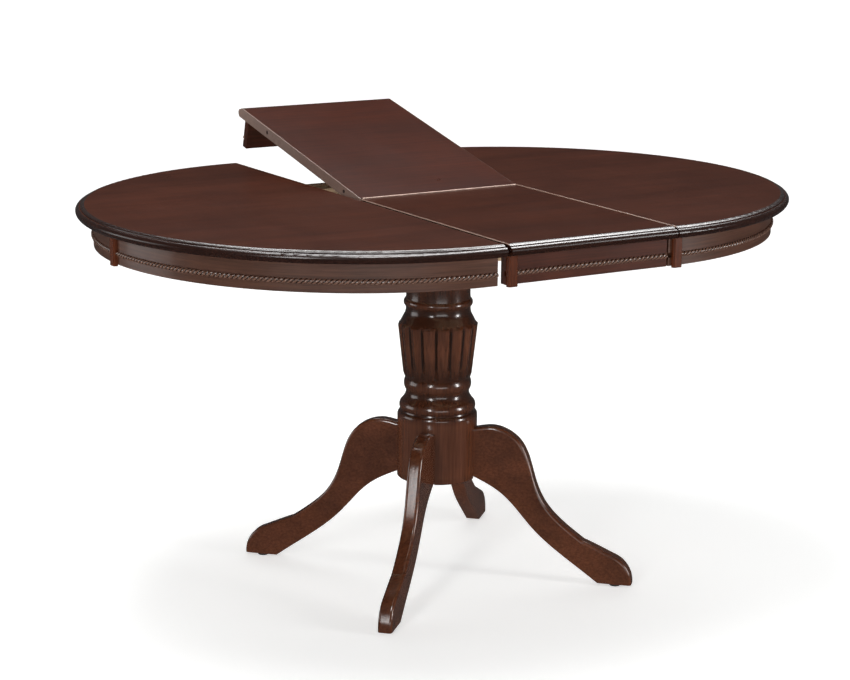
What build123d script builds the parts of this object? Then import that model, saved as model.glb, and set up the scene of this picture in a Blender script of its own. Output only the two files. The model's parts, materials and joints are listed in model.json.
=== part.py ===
"""Round pedestal dining table, drawn open, with a two-panel folding leaf.

Frame: origin on the floor under the column, +X is the way the table is drawn open,
+Y points to the back, +Z is up. Millimetres. The halves are drawn apart, the leaf lies
between them and its rear panel is part-raised about the hinge on the seam.
"""
import math
import os

from build123d import *

# Overall sizes
top_height = 772.0          # floor to top face
top_diameter = 1066.0       # both halves together
top_thickness = 21.5
leaf_width = 355.0
leaf_centre = 2.5           # the leaf lies a little off the column
half_travel = 183.5         # how far each half has been drawn out
leaf_raise = 12.85          # degrees, rear panel above flat

# Moulded edge of the top
lip_setback = 17.0           # from the nose in to the start of the moulding
lip_width = 8.0              # shallow slope outside the flat top
lip_drop = 2.6
lip_crown = 0.5
step_drop = 1.8              # fillet between the slope and the nose
nose_drop = 11.5             # from the top face down to the nose
nose_crown = 2.4
nose_return = 8.0            # undercut from the nose back to the underside
arris_radius = 1.2

# Aprons, rope moulding, pilasters
apron_setback = 33.0        # from the nose in to the apron face
apron_thickness = 16.0
apron_height = 55.5
rope_diameter = 9.0
rope_rise = 20.0            # centre of the rope above the apron's lower edge
rope_inset = 5.0            # depth of its groove
pilaster_width = 20.0
pilaster_thickness = 9.0
pilaster_drop = 3.0         # below the apron's lower edge
pilaster_chamfer = 3.0
pilaster_inset = 1.0          # from the end of a leaf's apron to its pilaster
end_pilaster_setback = 7.0    # from a half's inner edge to its end pilaster
leaf_apron_setback = 8.0      # from the leaf's edge to the apron end that has the pilaster
leaf_apron_gap = 0.5          # from the leaf's edge to the apron's other end
rope_end_gap = 1.0
glue_gap = 0.1              # between curved glued faces
block_size = 18.0
block_length = 40.0
block_angles = (12.0, 23.0, 60.0, 76.0)
block_gap = 0.6

# Slides and equalizer
slide_spacing = 285.0       # rail centre from the table's centre line
rail_length = 700.0
rail_width = 22.0
rail_height = 31.0
member_width = 24.0
member_height = 32.0
running_gap = 0.3
leaf_gap = 0.3              # between the leaf's underside and the slides
tongue_height = 6.0
tongue_depth = 5.0
tongue_rise = 22.0          # lower face of the tongue above the rail's foot
gear_module = 2.0
pinion_teeth = 14
gear_height = 8.0
gear_backlash = 0.5
rack_addendum = 1.5
rack_back = 4.0
rack_inner_teeth = 6
rack_outer_teeth = 33
axle_radius = 3.0
axle_head_radius = 5.0
axle_head_height = 2.7
axle_thread_radius = 2.4
axle_thread_length = 12.0
bearing_gap = 0.05

# Bearers and column block
bearer_length = 640.0
bearer_width = 60.0
bearer_height = 22.0
bearer_spacing = 70.0
bearer_chamfer = 10.0
block_plate_size = 230.0
block_plate_height = 22.0

# Column
drum_radius = 79.5
drum_bottom = 200.0
drum_top = 326.0
well_half_width = 42.0
well_depth = 120.0
reed_count = 16
drawn_stem = 344.0           # length of the stem that the heights of its turnings are drawn for
reed_foot = 102.0            # heights above the drum on that stem
reed_head = 182.0
reed_bottom_radius = 70.5
reed_top_radius = 79.5
reed_reach = 22.0           # how far the reeds' valleys run past each end
reed_lobe_radius = 17.0
reed_trim = 2.0             # the reeds' own ends lie this far outside the carved stretch
column_top_radius = 70.0
tenon_radius = 28.0
tenon_height = 20.0

# Legs
leg_reach = 400.0
leg_thickness = 28.0
leg_edge_radius = 6.0
leg_seat = 72.0             # flat seat in the drum, from the column's axis
leg_root_bottom = 208.0
leg_root_top = 303.0
toe_start = 360.0
toe_height = 64.0
upper_rim_height = 168.0      # only the upper curve of a leg passes this height midway
glide_height = 5.0
glide_radius = 11.0
glide_reach = 366.0
leg_angles = {"front_left": 225, "front_right": 315, "back_left": 135, "back_right": 45}

# Fasteners
leg_bolt_radius = 4.0
leg_bolt_heights = (236.0, 284.0)
leg_bolt_inner = 27.0
leg_bolt_outer = 114.0
washer_radius = 10.0
washer_height = 2.0
nut_width = 13.0
nut_height = 6.5
lag_radius = 4.0
lag_length = 70.0
lag_circle = 50.0
lag_head_radius = 7.0
lag_head_height = 5.0
wood_screw_radius = 2.5
wood_head_radius = 5.0
wood_head_height = 3.0
screw_gap = 0.05
half_screw_places = (-500.0, -390.0, -270.0)
half_screw_length = 34.0
half_screw_bore = 12.0      # counterbore in a slide member
rail_screw_length = 45.0
bearer_screw_length = 36.0
bearer_screw_offset = 88.0

# Locating pins
pin_radius = 4.0
pin_depth = 12.0
pin_gap = 0.3
leaf_pin_reach = 2.5
half_pin_reach = 7.0
pin_places = (68.0, 400.0)

# Leaf hinge
seam_gap = 0.6
hinge_lift = 0.3            # pin axis above the top face
knuckle_radius = 1.8
knuckle_gap = 0.3
hinge_pin_radius = 0.8
hinge_plate = 1.0
hinge_depth = 14.0
hinge_margin = 3.0
knuckle_count = 14
hinge_screw_count = 6
hinge_screw_length = 14.0
hinge_screw_radius = 1.5
hinge_head_radius = 2.5
hinge_screw_drop = 9.0

# Worked-out places
top_radius = top_diameter / 2
underside = top_height - top_thickness
apron_radius = top_radius - apron_setback
apron_bottom = underside - apron_height
rope_height = apron_bottom + rope_rise
apron_inner = apron_radius - apron_thickness
leaf_left = leaf_centre - leaf_width / 2
leaf_right = leaf_centre + leaf_width / 2
leaf_underside = underside + leaf_gap
member_bottom = underside - member_height
bearer_top = member_bottom - 2.0
bearer_bottom = bearer_top - bearer_height
plate_bottom = bearer_bottom - block_plate_height
rail_top = bearer_top + rail_height
tongue_bottom = bearer_top + tongue_rise
stem_stretch = (plate_bottom - drum_top) / drawn_stem
reed_bottom = drum_top + reed_foot * stem_stretch
reed_top = drum_top + reed_head * stem_stretch
pitch_radius = gear_module * pinion_teeth / 2
tooth_pitch = math.pi * gear_module
pinion_bottom = member_bottom + 3.5
pinion_top = pinion_bottom + gear_height
pocket_roof = pinion_top + 1.5
pocket_half_length = pitch_radius + gear_module + 6.0
inner_face = slide_spacing - rail_width / 2 - running_gap
outer_face = slide_spacing + rail_width / 2 + running_gap
hinge_height = top_height + hinge_lift
hinge_start = leaf_left + hinge_margin
hinge_length = leaf_width - 2 * hinge_margin
knuckle_pitch = hinge_length / knuckle_count
seam_axis = Axis((0, 0, hinge_height), (1, 0, 0))

os.makedirs("parts", exist_ok=True)


def save(block, label):
    """Label a finished piece and write it out."""
    block.part.label = label
    export_step(block.part, f"parts/{label}.step")


def save_raised(block, label):
    """Write out a piece of the rear leaf panel, turned up about the hinge."""
    raised = block.part.rotate(seam_axis, leaf_raise)
    raised.label = label
    export_step(raised, f"parts/{label}.step")


def radial_plane(angle, centre_x=0.0):
    """Upright plane through a vertical axis: local x runs outward, local y up."""
    turn = math.radians(angle)
    outward = (math.cos(turn), math.sin(turn), 0)
    sideways = (math.sin(turn), -math.cos(turn), 0)
    return Plane(origin=(centre_x, 0, 0), x_dir=outward, z_dir=sideways)


def side_sign(side):
    """-1 for the front of the table, +1 for the back."""
    return -1 if side == "front" else 1


# Profiles, drawn with local x outward and local y up

def top_outline(plane, inner):
    """Closed outline of the top from x=inner to the moulded edge."""
    with BuildSketch(plane) as outline:
        lip = top_radius - lip_setback
        nose = lip + lip_width
        lip_foot = top_height - lip_drop
        nose_head = lip_foot - step_drop
        nose_height = top_height - nose_drop
        return_edge = top_radius - nose_return
        with BuildLine():
            Polyline((return_edge, underside), (inner, underside), (inner, top_height), (lip, top_height))
            ThreePointArc(
                (lip, top_height),
                (lip + lip_width / 2, top_height - lip_drop / 2 + lip_crown),
                (nose, lip_foot),
            )
            Line((nose, lip_foot), (nose, nose_head))
            ThreePointArc(
                (nose, nose_head),
                ((nose + top_radius) / 2 + nose_crown * 0.7, (nose_head + nose_height) / 2 + nose_crown * 0.7),
                (top_radius, nose_height),
            )
            ThreePointArc(
                (top_radius, nose_height),
                (top_radius - nose_crown, (nose_height + underside) / 2 - nose_crown / 2),
                (return_edge, underside),
            )
        make_face()
    return outline.sketch


def apron_section(plane, face):
    """Apron board with the rope's groove, its outer face at x=face."""
    with BuildSketch(plane) as outline:
        with Locations((face - apron_thickness / 2, (apron_bottom + underside) / 2)):
            Rectangle(apron_thickness, apron_height)
        with Locations((face - rope_inset / 2, rope_height)):
            Rectangle(rope_inset, rope_diameter, mode=Mode.SUBTRACT)
    return outline.sketch


def rope_section(plane, face):
    """Half-round rope bead seated in the groove of a board whose face is at x=face."""
    with BuildSketch(plane) as outline:
        half = rope_diameter / 2
        back = face - rope_inset + glue_gap
        with BuildLine():
            Polyline(
                (face, rope_height + half),
                (back, rope_height + half),
                (back, rope_height - half),
                (face, rope_height - half),
            )
            ThreePointArc(
                (face, rope_height - half),
                (face + half, rope_height),
                (face, rope_height + half),
            )
        make_face()
    return outline.sketch


def pilaster_plan(plane, face, width):
    """Plan of a pilaster standing off a face at x=face, chamfered on its front corners."""
    with BuildSketch(plane) as outline:
        front = face + pilaster_thickness
        with BuildLine():
            Polyline(
                (face + glue_gap, -width / 2),
                (front - pilaster_chamfer, -width / 2),
                (front, -width / 2 + pilaster_chamfer),
                (front, width / 2 - pilaster_chamfer),
                (front - pilaster_chamfer, width / 2),
                (face + glue_gap, width / 2),
                close=True,
            )
        make_face()
    return outline.sketch


# Pedestal: column

def stem(radius, height):
    """Point of the stem's outline, its drawn height above the drum fitted to the real stem."""
    return (radius, drum_top + height * stem_stretch)


def turning_outline(plane):
    """Half outline of the turned column."""
    with BuildSketch(plane) as outline:
        with BuildLine():
            Polyline(
                (0, drum_bottom),
                (drum_radius - 1.5, drum_bottom),
                (drum_radius, drum_bottom + 1.5),
                (drum_radius, drum_top),
            )
            ThreePointArc((drum_radius, drum_top), stem(78.0, 6.0), stem(74.5, 9.5))
            Line(stem(74.5, 9.5), stem(73.8, 12.0))
            ThreePointArc(stem(73.8, 12.0), stem(75.8, 20.5), stem(73.0, 29.0))
            Spline(stem(73.0, 29.0), stem(67.0, 36.5), stem(62.8, 48.0), tangents=((-1.0, 0.9), (0.0, 1.0)))
            Line(stem(62.8, 48.0), stem(62.8, 51.0))
            ThreePointArc(stem(62.8, 51.0), stem(67.0, 64.0), stem(63.7, 76.0))
            Spline(
                stem(63.7, 76.0),
                stem(67.6, 84.0),
                stem(reed_bottom_radius, reed_foot),
                tangents=((0.7, 1.0), (0.0, 1.0)),
            )
            Line(stem(reed_bottom_radius, reed_foot), stem(reed_top_radius, reed_head))
            Line(stem(reed_top_radius, reed_head), stem(78.6, 183.5))
            Spline(
                stem(78.6, 183.5),
                stem(70.6, 196.0),
                stem(65.1, 207.0),
                stem(64.0, 219.0),
                tangents=((-1.0, 0.8), (0.0, 1.0)),
            )
            ThreePointArc(stem(64.0, 219.0), stem(68.3, 227.0), stem(64.0, 235.0))
            Spline(
                stem(64.0, 235.0),
                stem(64.6, 284.0),
                stem(column_top_radius, drawn_stem),
                tangents=((-0.1, 1.0), (0.1, 1.0)),
            )
            Polyline(
                (column_top_radius, plate_bottom),
                (tenon_radius, plate_bottom),
                (tenon_radius, plate_bottom + tenon_height),
                (0, plate_bottom + tenon_height),
                (0, drum_bottom),
            )
        make_face()
    return outline.sketch


reed_slope = (reed_top_radius - reed_bottom_radius) / (reed_top - reed_bottom)
zone_bottom = reed_bottom - reed_reach
zone_top = reed_top + reed_reach


def reed_size(height):
    """Radius of a reed and of its own axis about the column, at a height."""
    outer = reed_top_radius + reed_slope * (height - reed_top)
    lobe = reed_lobe_radius * outer / reed_top_radius
    return lobe, outer - lobe


with BuildPart() as reeds:
    foot_lobe, foot_axis = reed_size(zone_bottom)
    head_lobe, head_axis = reed_size(zone_top)
    with Locations((0, 0, zone_bottom)):
        Cone(foot_axis, head_axis, zone_top - zone_bottom, align=(Align.CENTER, Align.CENTER, Align.MIN))
    for index in range(reed_count):
        turn = 2 * math.pi * index / reed_count
        foot = Vector(foot_axis * math.cos(turn), foot_axis * math.sin(turn), zone_bottom)
        head = Vector(head_axis * math.cos(turn), head_axis * math.sin(turn), zone_top)
        with Locations(Plane(foot, z_dir=head - foot)):
            Cone(foot_lobe, head_lobe, (head - foot).length, align=(Align.CENTER, Align.CENTER, Align.MIN))

with BuildPart() as reeded_zone:
    revolve(turning_outline(Plane.XZ), axis=Axis.Z)
    with Locations((0, 0, zone_bottom + reed_trim)):
        Cylinder(
            reed_top_radius + 20.0,
            zone_top - zone_bottom - 2 * reed_trim,
            align=(Align.CENTER, Align.CENTER, Align.MIN),
            mode=Mode.INTERSECT,
        )
    add(reeds.part, mode=Mode.INTERSECT)

with BuildPart() as column:
    revolve(turning_outline(Plane.XZ), axis=Axis.Z)
    with Locations((0, 0, zone_bottom + reed_trim)):
        Cylinder(
            reed_top_radius + 20.0,
            zone_top - zone_bottom - 2 * reed_trim,
            align=(Align.CENTER, Align.CENTER, Align.MIN),
            mode=Mode.SUBTRACT,
        )
    add(reeded_zone.part)
    with BuildSketch(Plane.XY.offset(drum_bottom)):
        Rectangle(2 * well_half_width, 2 * well_half_width, rotation=45)
    extrude(amount=well_depth, mode=Mode.SUBTRACT)
    for angle in leg_angles.values():
        with BuildSketch(radial_plane(angle)):
            with Locations(((leg_seat + drum_radius + 5) / 2, (drum_bottom + leg_root_top + 1.5) / 2)):
                Rectangle(drum_radius + 5 - leg_seat, leg_root_top + 1.5 - drum_bottom)
        extrude(amount=leg_thickness / 2 + glue_gap, both=True, mode=Mode.SUBTRACT)
        for height in leg_bolt_heights:
            with BuildSketch(Plane(origin=(0, 0, height), z_dir=radial_plane(angle).x_dir)):
                Circle(leg_bolt_radius + screw_gap)
            extrude(amount=drum_radius, mode=Mode.SUBTRACT)
    with BuildSketch(Plane.XY.offset(plate_bottom)):
        with PolarLocations(lag_circle, 4, start_angle=45):
            Circle(lag_radius + screw_gap)
    extrude(amount=-(lag_length - block_plate_height), mode=Mode.SUBTRACT)
save(column, "column")


# Pedestal: legs

def leg_outline(plane):
    """Side outline of a sabre leg, local x outward from the column's axis."""
    with BuildSketch(plane) as outline:
        with BuildLine():
            Line((leg_seat, leg_root_bottom), (leg_seat, leg_root_top))
            Spline(
                (leg_seat, leg_root_top),
                (118.0, 309.5),
                (166.0, 287.0),
                (198.0, 216.0),
                (240.0, 138.0),
                (300.0, 90.0),
                (toe_start, toe_height),
                tangents=((1.0, 0.2), (1.0, -0.45)),
            )
            ThreePointArc((toe_start, toe_height), (389.0, 43.0), (leg_reach, glide_height))
            Line((leg_reach, glide_height), (333.0, glide_height))
            Spline(
                (333.0, glide_height),
                (260.0, 57.0),
                (200.0, 107.0),
                (140.0, 171.0),
                (leg_seat, leg_root_bottom),
                tangents=((-1.0, 0.75), (-1.0, 0.42)),
            )
        make_face()
    return outline.sketch


def is_outer_rim(edge):
    """True for a cheek's edge along the upper curve or the toe of a leg."""
    middle = edge @ 0.5
    reach = math.hypot(middle.X, middle.Y)
    on_toe = reach > toe_start and middle.Z > glide_height + 1.0
    on_curve = reach > leg_seat + leg_thickness and middle.Z > upper_rim_height
    return on_toe or on_curve


for place, angle in leg_angles.items():
    with BuildPart() as leg:
        extrude(leg_outline(radial_plane(angle)), amount=leg_thickness / 2, both=True)
        cheeks = leg.faces().sort_by(Axis(origin=(0, 0, 0), direction=radial_plane(angle).z_dir))
        rims = ShapeList(cheeks[0].edges() + cheeks[-1].edges())
        outer_rims = rims.filter_by(is_outer_rim)
        fillet(outer_rims, leg_edge_radius)
        for height in leg_bolt_heights:
            with BuildSketch(Plane(origin=(0, 0, height), z_dir=radial_plane(angle).x_dir)):
                Circle(leg_bolt_radius + screw_gap)
            extrude(amount=leg_bolt_outer + 1.0, mode=Mode.SUBTRACT)
    save(leg, f"leg_{place}")

with BuildPart() as foot_glides:
    with BuildSketch():
        with PolarLocations(glide_reach, 4, start_angle=45):
            Circle(glide_radius)
    extrude(amount=glide_height)
    chamfer(foot_glides.edges().group_by(Axis.Z)[0], 1.0)
save(foot_glides, "foot_glides")

with BuildPart() as leg_bolts:
    for angle in leg_angles.values():
        for height in leg_bolt_heights:
            outward = radial_plane(angle).x_dir
            with BuildSketch(Plane(origin=(0, 0, height), z_dir=outward).offset(leg_bolt_inner)):
                Circle(leg_bolt_radius)
            extrude(amount=leg_bolt_outer - leg_bolt_inner)
save(leg_bolts, "leg_bolts")

with BuildPart() as leg_washers:
    for angle in leg_angles.values():
        for height in leg_bolt_heights:
            outward = radial_plane(angle).x_dir
            seat = Plane(origin=(0, 0, height), z_dir=outward).offset(well_half_width)
            with BuildSketch(seat):
                Circle(washer_radius)
                Circle(leg_bolt_radius + screw_gap, mode=Mode.SUBTRACT)
            extrude(amount=-washer_height)
save(leg_washers, "leg_washers")

with BuildPart() as leg_nuts:
    for angle in leg_angles.values():
        for height in leg_bolt_heights:
            outward = radial_plane(angle).x_dir
            seat = Plane(origin=(0, 0, height), z_dir=outward).offset(well_half_width - washer_height)
            with BuildSketch(seat):
                RegularPolygon(nut_width / 2, 6, major_radius=False)
                Circle(leg_bolt_radius + screw_gap, mode=Mode.SUBTRACT)
            extrude(amount=-nut_height)
save(leg_nuts, "leg_nuts")

# Pedestal: column block, bearers and centre rails
with BuildPart() as column_block:
    with BuildSketch(Plane.XY.offset(plate_bottom)):
        RectangleRounded(block_plate_size, block_plate_size, 12)
    extrude(amount=block_plate_height)
    with BuildSketch(Plane.XY.offset(plate_bottom)):
        Circle(tenon_radius + glue_gap)
        with PolarLocations(lag_circle, 4, start_angle=45):
            Circle(lag_radius + screw_gap)
        with GridLocations(2 * bearer_spacing, 2 * bearer_screw_offset, 2, 2):
            Circle(wood_screw_radius + screw_gap)
    extrude(amount=block_plate_height, mode=Mode.SUBTRACT)
    with BuildSketch(Plane.XY.offset(bearer_bottom)):
        with PolarLocations(lag_circle, 4, start_angle=45):
            Circle(lag_head_radius + 1.0)
    extrude(amount=-(lag_head_height + 1.0), mode=Mode.SUBTRACT)
save(column_block, "column_block")

with BuildPart() as block_screws:
    with BuildSketch(Plane.XY.offset(bearer_bottom - 1.0)):
        with PolarLocations(lag_circle, 4, start_angle=45):
            RegularPolygon(lag_head_radius, 6)
    extrude(amount=-lag_head_height)
    with BuildSketch(Plane.XY.offset(bearer_bottom - 1.0)):
        with PolarLocations(lag_circle, 4, start_angle=45):
            Circle(lag_radius)
    extrude(amount=-(lag_length - 2.0))
save(block_screws, "block_screws")

for side_name, place in (("left", -bearer_spacing), ("right", bearer_spacing)):
    with BuildPart() as bearer:
        with BuildSketch(Plane.XY.offset(bearer_bottom)):
            with Locations((place, 0)):
                Rectangle(bearer_width, bearer_length)
        extrude(amount=bearer_height)
        chamfer(bearer.edges().filter_by(Axis.X).group_by(Axis.Z)[0], bearer_chamfer)
        with BuildSketch(Plane.XY.offset(bearer_bottom)):
            with Locations((place, 0)):
                with GridLocations(0, 2 * bearer_screw_offset, 1, 2):
                    Circle(wood_screw_radius + screw_gap)
        extrude(amount=bearer_screw_length - block_plate_height, mode=Mode.SUBTRACT)
        with BuildSketch(Plane.XY.offset(bearer_top)):
            with Locations((place, 0)):
                with GridLocations(0, 2 * slide_spacing, 1, 2):
                    Circle(wood_screw_radius + screw_gap)
        extrude(amount=-(rail_screw_length - rail_height), mode=Mode.SUBTRACT)
    save(bearer, f"bearer_{side_name}")

with BuildPart() as bearer_screws:
    with BuildSketch(Plane.XY.offset(plate_bottom)):
        with GridLocations(2 * bearer_spacing, 2 * bearer_screw_offset, 2, 2):
            Circle(wood_head_radius)
    extrude(amount=-wood_head_height)
    with BuildSketch(Plane.XY.offset(plate_bottom)):
        with GridLocations(2 * bearer_spacing, 2 * bearer_screw_offset, 2, 2):
            Circle(wood_screw_radius)
    extrude(amount=bearer_screw_length)
save(bearer_screws, "bearer_screws")

for side in ("front", "back"):
    rail_y = side_sign(side) * slide_spacing
    with BuildPart() as centre_rail:
        with BuildSketch(Plane.XY.offset(bearer_top)):
            with Locations((0, rail_y)):
                Rectangle(rail_length, rail_width)
        extrude(amount=rail_height)
        with BuildSketch(Plane.XY.offset(tongue_bottom)):
            with Locations((0, rail_y)):
                Rectangle(rail_length, rail_width + 2 * tongue_depth)
        extrude(amount=tongue_height)
        with BuildSketch(Plane.XY.offset(bearer_top)):
            with Locations((0, rail_y)):
                Rectangle(2 * pocket_half_length, rail_width)
        extrude(amount=pocket_roof - bearer_top, mode=Mode.SUBTRACT)
        with BuildSketch(Plane.XY.offset(pocket_roof)):
            with Locations((0, rail_y)):
                Circle(axle_thread_radius + screw_gap)
        extrude(amount=axle_thread_length, mode=Mode.SUBTRACT)
        with BuildSketch(Plane.XY.offset(bearer_top)):
            with Locations((0, rail_y)):
                with GridLocations(2 * bearer_spacing, 0, 2, 1):
                    Circle(wood_screw_radius + screw_gap)
        extrude(amount=rail_height, mode=Mode.SUBTRACT)
        with BuildSketch(Plane.XY.offset(rail_top - wood_head_height - 0.5)):
            with Locations((0, rail_y)):
                with GridLocations(2 * bearer_spacing, 0, 2, 1):
                    Circle(wood_head_radius + 0.2)
        extrude(amount=wood_head_height + 0.5, mode=Mode.SUBTRACT)
    save(centre_rail, f"centre_rail_{side}")

with BuildPart() as rail_screws:
    with BuildSketch(Plane.XY.offset(rail_top - wood_head_height - 0.5)):
        with GridLocations(2 * bearer_spacing, 2 * slide_spacing, 2, 2):
            Circle(wood_head_radius)
    extrude(amount=wood_head_height)
    with BuildSketch(Plane.XY.offset(rail_top - 1.0)):
        with GridLocations(2 * bearer_spacing, 2 * slide_spacing, 2, 2):
            Circle(wood_screw_radius)
    extrude(amount=-(rail_screw_length - 2.0))
save(rail_screws, "rail_screws")

with BuildPart() as pinion_axles:
    with BuildSketch(Plane.XY.offset(pinion_bottom - running_gap)):
        with GridLocations(0, 2 * slide_spacing, 1, 2):
            Circle(axle_head_radius)
    extrude(amount=-axle_head_height)
    with BuildSketch(Plane.XY.offset(pinion_bottom - running_gap)):
        with GridLocations(0, 2 * slide_spacing, 1, 2):
            Circle(axle_radius)
    extrude(amount=pocket_roof - pinion_bottom + running_gap)
    with BuildSketch(Plane.XY.offset(pocket_roof)):
        with GridLocations(0, 2 * slide_spacing, 1, 2):
            Circle(axle_thread_radius)
    extrude(amount=axle_thread_length - 1.0)
save(pinion_axles, "pinion_axles")


# Equalizer: pinions and racks

def pinion_plan(plane):
    """Spur pinion whose flanks are involutes of a 20 degree pressure angle."""
    with BuildSketch(plane) as outline:
        pressure = math.radians(20)
        base = pitch_radius * math.cos(pressure)
        tip = pitch_radius + gear_module
        root = pitch_radius - 1.25 * gear_module
        half_tooth = (tooth_pitch - gear_backlash) / 4 / pitch_radius
        pitch_roll = math.tan(pressure) - pressure
        flank = []
        for step in range(5):
            radius = base + (tip - base) * step / 4
            roll = math.acos(base / radius)
            flank.append((radius, half_tooth + pitch_roll - (math.tan(roll) - roll)))
        Circle(root + 0.2)
        for tooth in range(pinion_teeth):
            middle = math.radians(90) + 2 * math.pi * tooth / pinion_teeth
            corners = [(root, -flank[0][1])]
            corners += [(radius, -spread) for radius, spread in flank]
            corners += [(radius, spread) for radius, spread in reversed(flank)]
            corners += [(root, flank[0][1])]
            with BuildLine():
                Polyline(
                    [(r * math.cos(middle + a), r * math.sin(middle + a)) for r, a in corners],
                    close=True,
                )
            make_face()
        Circle(axle_radius + bearing_gap, mode=Mode.SUBTRACT)
    return outline.sketch


for side in ("front", "back"):
    with BuildPart() as pinion:
        middle = Plane((0, side_sign(side) * slide_spacing, pinion_bottom))
        extrude(pinion_plan(middle), amount=gear_height)
    save(pinion, f"pinion_{side}")


def rack_plan(plane, rail_y, toward, opening):
    """Plan of a rack: pitch line on the side of the rail named by toward (+1 or -1).

    opening is the way its half is drawn out; the rack trails the other way.
    """
    with BuildSketch(plane) as outline:
        pitch_line = rail_y + toward * pitch_radius
        tips = pitch_line - toward * rack_addendum
        roots = pitch_line + toward * (gear_module + 0.5)
        back = roots + toward * rack_back
        slope = math.tan(math.radians(20))
        half_tooth = (tooth_pitch - gear_backlash) / 4
        start = opening * rack_inner_teeth * tooth_pitch
        end = -opening * rack_outer_teeth * tooth_pitch
        with Locations(((start + end) / 2, (roots + back) / 2)):
            Rectangle(abs(start - end), rack_back)
        for tooth in range(rack_inner_teeth + rack_outer_teeth):
            middle = start - opening * (tooth + 0.5) * tooth_pitch
            tip_half = half_tooth - slope * rack_addendum
            root_half = half_tooth + slope * (gear_module + 0.5)
            with BuildLine():
                Polyline(
                    (middle - root_half, roots),
                    (middle - tip_half, tips),
                    (middle + tip_half, tips),
                    (middle + root_half, roots),
                    close=True,
                )
            make_face()
    return outline.sketch


# Halves of the top

def member_middle(opening):
    """Distance of a slide member's middle from the centre line: right ones run outside."""
    return slide_spacing + opening * (rail_width / 2 + running_gap + member_width / 2)


def screw_bite():
    """Depth that a slide screw reaches into the top."""
    return member_bottom + half_screw_bore + half_screw_length - underside


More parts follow.
